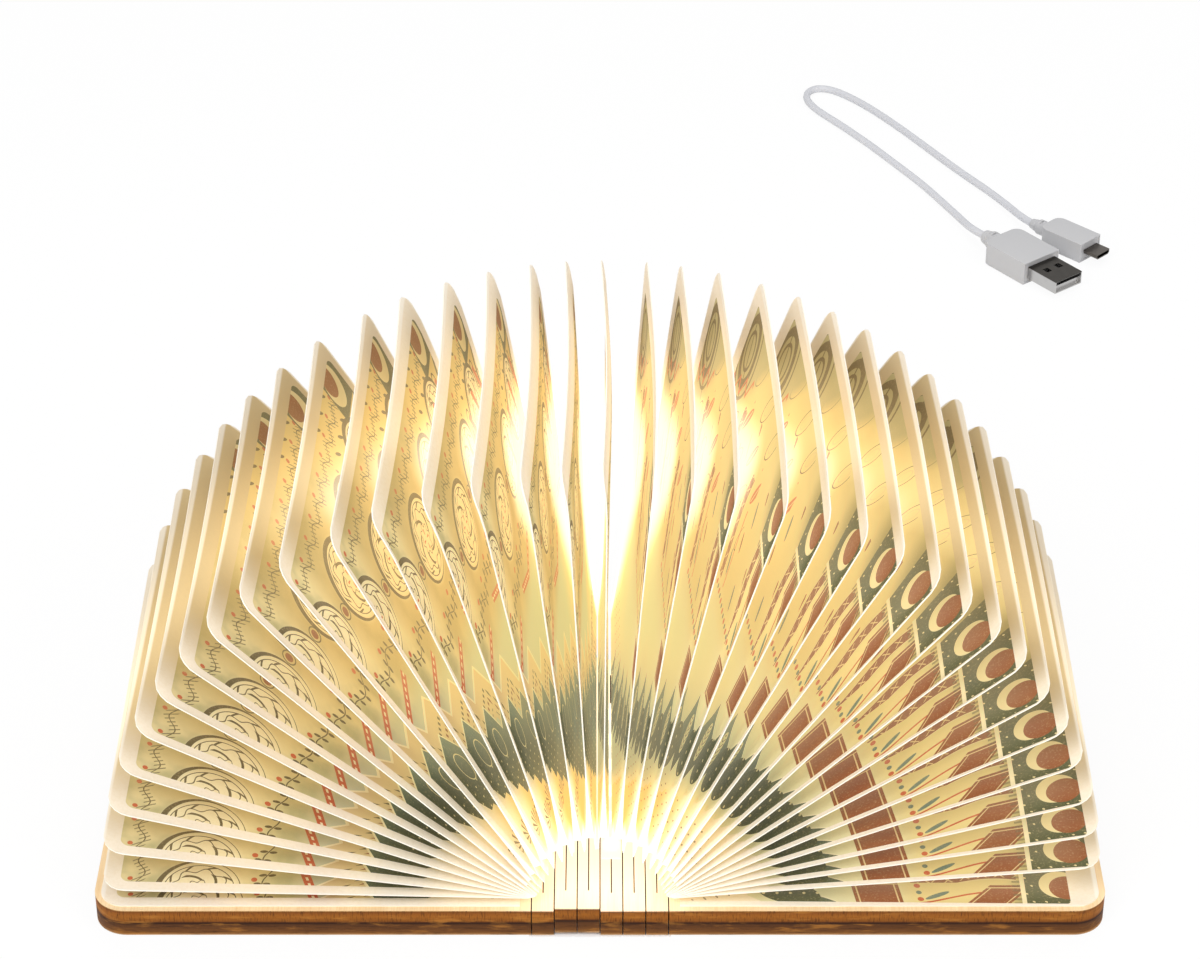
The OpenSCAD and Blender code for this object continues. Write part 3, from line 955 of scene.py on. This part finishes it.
def closeSheets(page, number):
    # the two half-sheets meet along the front, outer and back margins
    mesh = bmesh.new()
    mesh.from_mesh(page.data)
    foot = footPlace(number)

    def away(vertex):
        return math.hypot(vertex.co.x / mm - foot.x, vertex.co.z / mm - foot.z)

    edges = [edge for edge in mesh.edges if edge.is_boundary]
    edges = [edge for edge in edges if max(away(vertex) for vertex in edge.verts) > 6]
    bmesh.ops.bridge_loops(mesh, edges=edges)
    bmesh.ops.recalc_face_normals(mesh, faces=mesh.faces)
    mesh.to_mesh(page.data)
    mesh.free()


def finishPage(page, number):
    applyModifier(page, "SOLIDIFY", thickness=pages["wall"] * mm, offset=-1.0)
    makeActive(page)
    bpy.ops.object.shade_smooth_by_angle(angle=math.radians(40))
    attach(page, f"page_{number:02d}")
    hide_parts(f"page_{number:02d}")
    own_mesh(page)


for number in range(1, pages["count"] + 1):
    finishPage(makePage(number), number)
print("pages folded")

plugs = {
    "usb_a": {"at": 0, "turn": -52, "length": 20, "width": 16, "height": 8, "neck": 6.4},
    "micro_usb": {"at": -1, "turn": -45, "length": 18, "width": 10.6, "height": 7, "neck": 5.2},
}
relief = {"length": 7, "tip": 2.5, "windowWidth": 0.9}
mould = {"rearRound": 3, "lip": 0.55, "sink": 0.25, "edge": 0.8}


def selectInEdit(thing, wanted, kind="verts"):
    # selects what a test on the place says, and leaves edit mode on
    makeActive(thing)
    bpy.ops.object.mode_set(mode="EDIT")
    bpy.ops.mesh.select_mode(type={"verts": "VERT", "edges": "EDGE", "faces": "FACE"}[kind])
    bpy.ops.mesh.select_all(action="DESELECT")
    mesh = bmesh.from_edit_mesh(thing.data)
    for part in getattr(mesh, kind):
        corners = [part.co] if kind == "verts" else [vertex.co for vertex in part.verts]
        if all(wanted(corner / mm) for corner in corners):
            part.select_set(True)
    bmesh.update_edit_mesh(thing.data)


def leaveEdit():
    bpy.ops.object.mode_set(mode="OBJECT")


def turnedRings(name, rings, sides=32):
    # a closed round form along X, from rings of (place, radius)
    first, wide = rings[0]
    deselectAll()
    bpy.ops.mesh.primitive_circle_add(
        vertices=sides,
        radius=wide * mm,
        fill_type="NGON",
        location=(first * mm, 0, 0),
        rotation=(0, math.radians(90), 0),
    )
    made = bpy.context.object
    made.name = name
    settle(made)
    bpy.ops.object.mode_set(mode="EDIT")
    bpy.ops.mesh.select_all(action="SELECT")
    before = first
    for place, radius in rings[1:]:
        bpy.ops.mesh.extrude_region_move(
            TRANSFORM_OT_translate={"value": ((place - before) * mm, 0, 0)}
        )
        share = radius / wide
        bpy.ops.transform.resize(value=(1, share, share), center_override=(place * mm, 0, 0))
        before, wide = place, radius
    bpy.ops.mesh.select_all(action="SELECT")
    bpy.ops.mesh.normals_make_consistent(inside=False)
    leaveEdit()
    return made


def addBlock(name, centre, size):
    deselectAll()
    bpy.ops.mesh.primitive_cube_add(size=1, location=Vector(centre) * mm)
    block = bpy.context.object
    block.name = name
    block.scale = Vector(size) * mm
    settle(block)
    return block


def joinOrCut(body, tool, operation):
    applyModifier(body, "BOOLEAN", operation=operation, object=tool, solver="EXACT")
    bpy.data.objects.remove(tool)


def makeMoulding(kind):
    plug = plugs[kind]
    rear = relief["length"]
    front = rear + plug["length"]
    body = addBlock(
        f"{kind}_moulding",
        (rear + plug["length"] / 2, 0, 0),
        (plug["length"], plug["width"], plug["height"]),
    )
    selectInEdit(body, lambda at: at.x < rear + 0.1, "edges")
    mesh = bmesh.from_edit_mesh(body.data)
    for edge in mesh.edges:
        across = abs(edge.verts[0].co.z - edge.verts[1].co.z) < mm
        if edge.select and across:
            edge.select_set(False)
    bmesh.update_edit_mesh(body.data)
    bpy.ops.mesh.bevel(offset=mould["rearRound"] * mm, segments=5, affect="EDGES")
    leaveEdit()
    selectInEdit(body, lambda at: at.x > front - 0.1, "faces")
    bpy.ops.mesh.inset(thickness=mould["lip"] * mm)
    bpy.ops.mesh.extrude_region_move(TRANSFORM_OT_translate={"value": (-mould["sink"] * mm, 0, 0)})
    leaveEdit()
    applyModifier(
        body,
        "BEVEL",
        width=mould["edge"] * mm,
        segments=4,
        limit_method="ANGLE",
        angle_limit=math.radians(50),
    )
    neck = plug["neck"] / 2
    tip = relief["tip"]
    collar = turnedRings(
        f"{kind}_neck",
        [
            (0.1, cable["diameter"] / 2 + 0.05),
            (0.1, neck - 0.9),
            (tip - 0.6, neck - 0.55),
            (tip - 0.2, neck - 0.8),
            (tip + 0.2, neck - 0.8),
            (tip + 0.5, neck - 0.15),
            (tip + 0.8, neck),
            (rear - 0.6, neck),
            (rear + 1, neck - 0.2),
        ],
    )
    joinOrCut(body, collar, "UNION")
    for side in (-1, 1):
        at = (tip + 2.2, 0, side * (neck - 0.1))
        window = addBlock("window", at, (relief["windowWidth"], neck * 1.1, 0.9))
        joinOrCut(body, window, "DIFFERENCE")
    return body


def placePlug(body, kind):
    body.rotation_euler = (0, 0, math.radians(plugs[kind]["turn"]))
    body.location = Vector(cableRoute[plugs[kind]["at"]]) * mm
    settle(body)
    makeActive(body)
    bpy.ops.object.shade_smooth_by_angle(angle=math.radians(35))
    body.data.materials.clear()
    body.data.materials.append(plastic)


cableBody = frame["nodes"]["usb_cable"]["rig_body"]
for kind in plugs:
    moulding = makeMoulding(kind)
    placePlug(moulding, kind)
    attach(moulding, cableBody)
    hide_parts(f"{kind}_plug_body")
print("plugs moulded")

cableObject.data.materials.append(jacket)
makeActive(cableObject)
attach(cableObject, cableBody)
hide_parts("usb_cable")

stage = {
    "size": 12,
    "floor": srgb(250, 250, 250),
    "lift": 0.92,
    "shaded": (18, 54),
    "ambient": 0.5,
    "gap": -0.0002,
}
softboxes = {
    "key_softbox": {"at": (-0.6, -0.9, 1.1), "size": 0.9, "power": 12},
    "fill_softbox": {"at": (0.9, -0.7, 0.9), "size": 0.9, "power": 6.5},
    "top_softbox": {"at": (0.1, 0.5, 1.2), "size": 0.8, "power": 3},
}


def whiteInView(tree, shaded, share):
    # what the camera and mirrors see is part plain white
    white = tree.nodes.new("ShaderNodeEmission")
    rays = tree.nodes.new("ShaderNodeLightPath")
    seen = tree.nodes.new("ShaderNodeMath")
    seen.operation = "MAXIMUM"
    tree.links.new(rays.outputs["Is Camera Ray"], seen.inputs[0])
    tree.links.new(rays.outputs["Is Glossy Ray"], seen.inputs[1])
    blend = tree.nodes.new("ShaderNodeMixShader")
    scale = tree.nodes.new("ShaderNodeMath")
    scale.operation = "MULTIPLY"
    tree.links.new(seen.outputs[0], scale.inputs[0])
    if isinstance(share, Wire):
        tree.links.new(share.socket, scale.inputs[1])
    else:
        scale.inputs[1].default_value = share
    tree.links.new(scale.outputs[0], blend.inputs[0])
    tree.links.new(shaded, blend.inputs[1])
    tree.links.new(white.outputs[0], blend.inputs[2])
    return blend.outputs[0]


def makeFloor():
    deselectAll()
    bpy.ops.mesh.primitive_plane_add(size=stage["size"], location=(0, 0, stage["gap"]))
    floor = bpy.context.object
    floor.name = "floor"
    settle(floor)
    finish = Finish("pale_floor", Roughness=0.9, Base_Color=stage["floor"])
    x, y, _ = finish.split(finish.place())
    halfWidth, halfLength = stage["shaded"]
    underSpine = (abs(x) < halfWidth) * (abs(y) < halfLength)
    share = (1 - underSpine) * stage["lift"]
    seen = whiteInView(finish.tree, finish.shader.outputs[0], share)
    finish.tree.links.new(seen, finish.tree.nodes["Material Output"].inputs[0])
    floor.data.materials.append(finish.material)


def makeWorld():
    world = bpy.data.worlds.new("studio")
    bpy.context.scene.world = world
    world.use_nodes = True
    around = world.node_tree.nodes["Background"]
    around.inputs["Color"].default_value = (1, 1, 1, 1)
    around.inputs["Strength"].default_value = stage["ambient"]
    seen = whiteInView(world.node_tree, around.outputs[0], 1.0)
    world.node_tree.links.new(seen, world.node_tree.nodes["World Output"].inputs[0])


def addSoftbox(name, box):
    target = Vector((0, 0, 0.05))
    bpy.ops.object.light_add(type="AREA", location=box["at"])
    lamp = bpy.context.object
    lamp.name = name
    lamp.data.shape = "DISK"
    lamp.data.size = box["size"]
    lamp.data.energy = box["power"]
    lamp.rotation_euler = (target - Vector(box["at"])).to_track_quat("-Z", "Y").to_euler()


makeFloor()
makeWorld()
for name, box in softboxes.items():
    addSoftbox(name, box)
bpy.context.scene.view_settings.view_transform = "Standard"
print("stage lit")
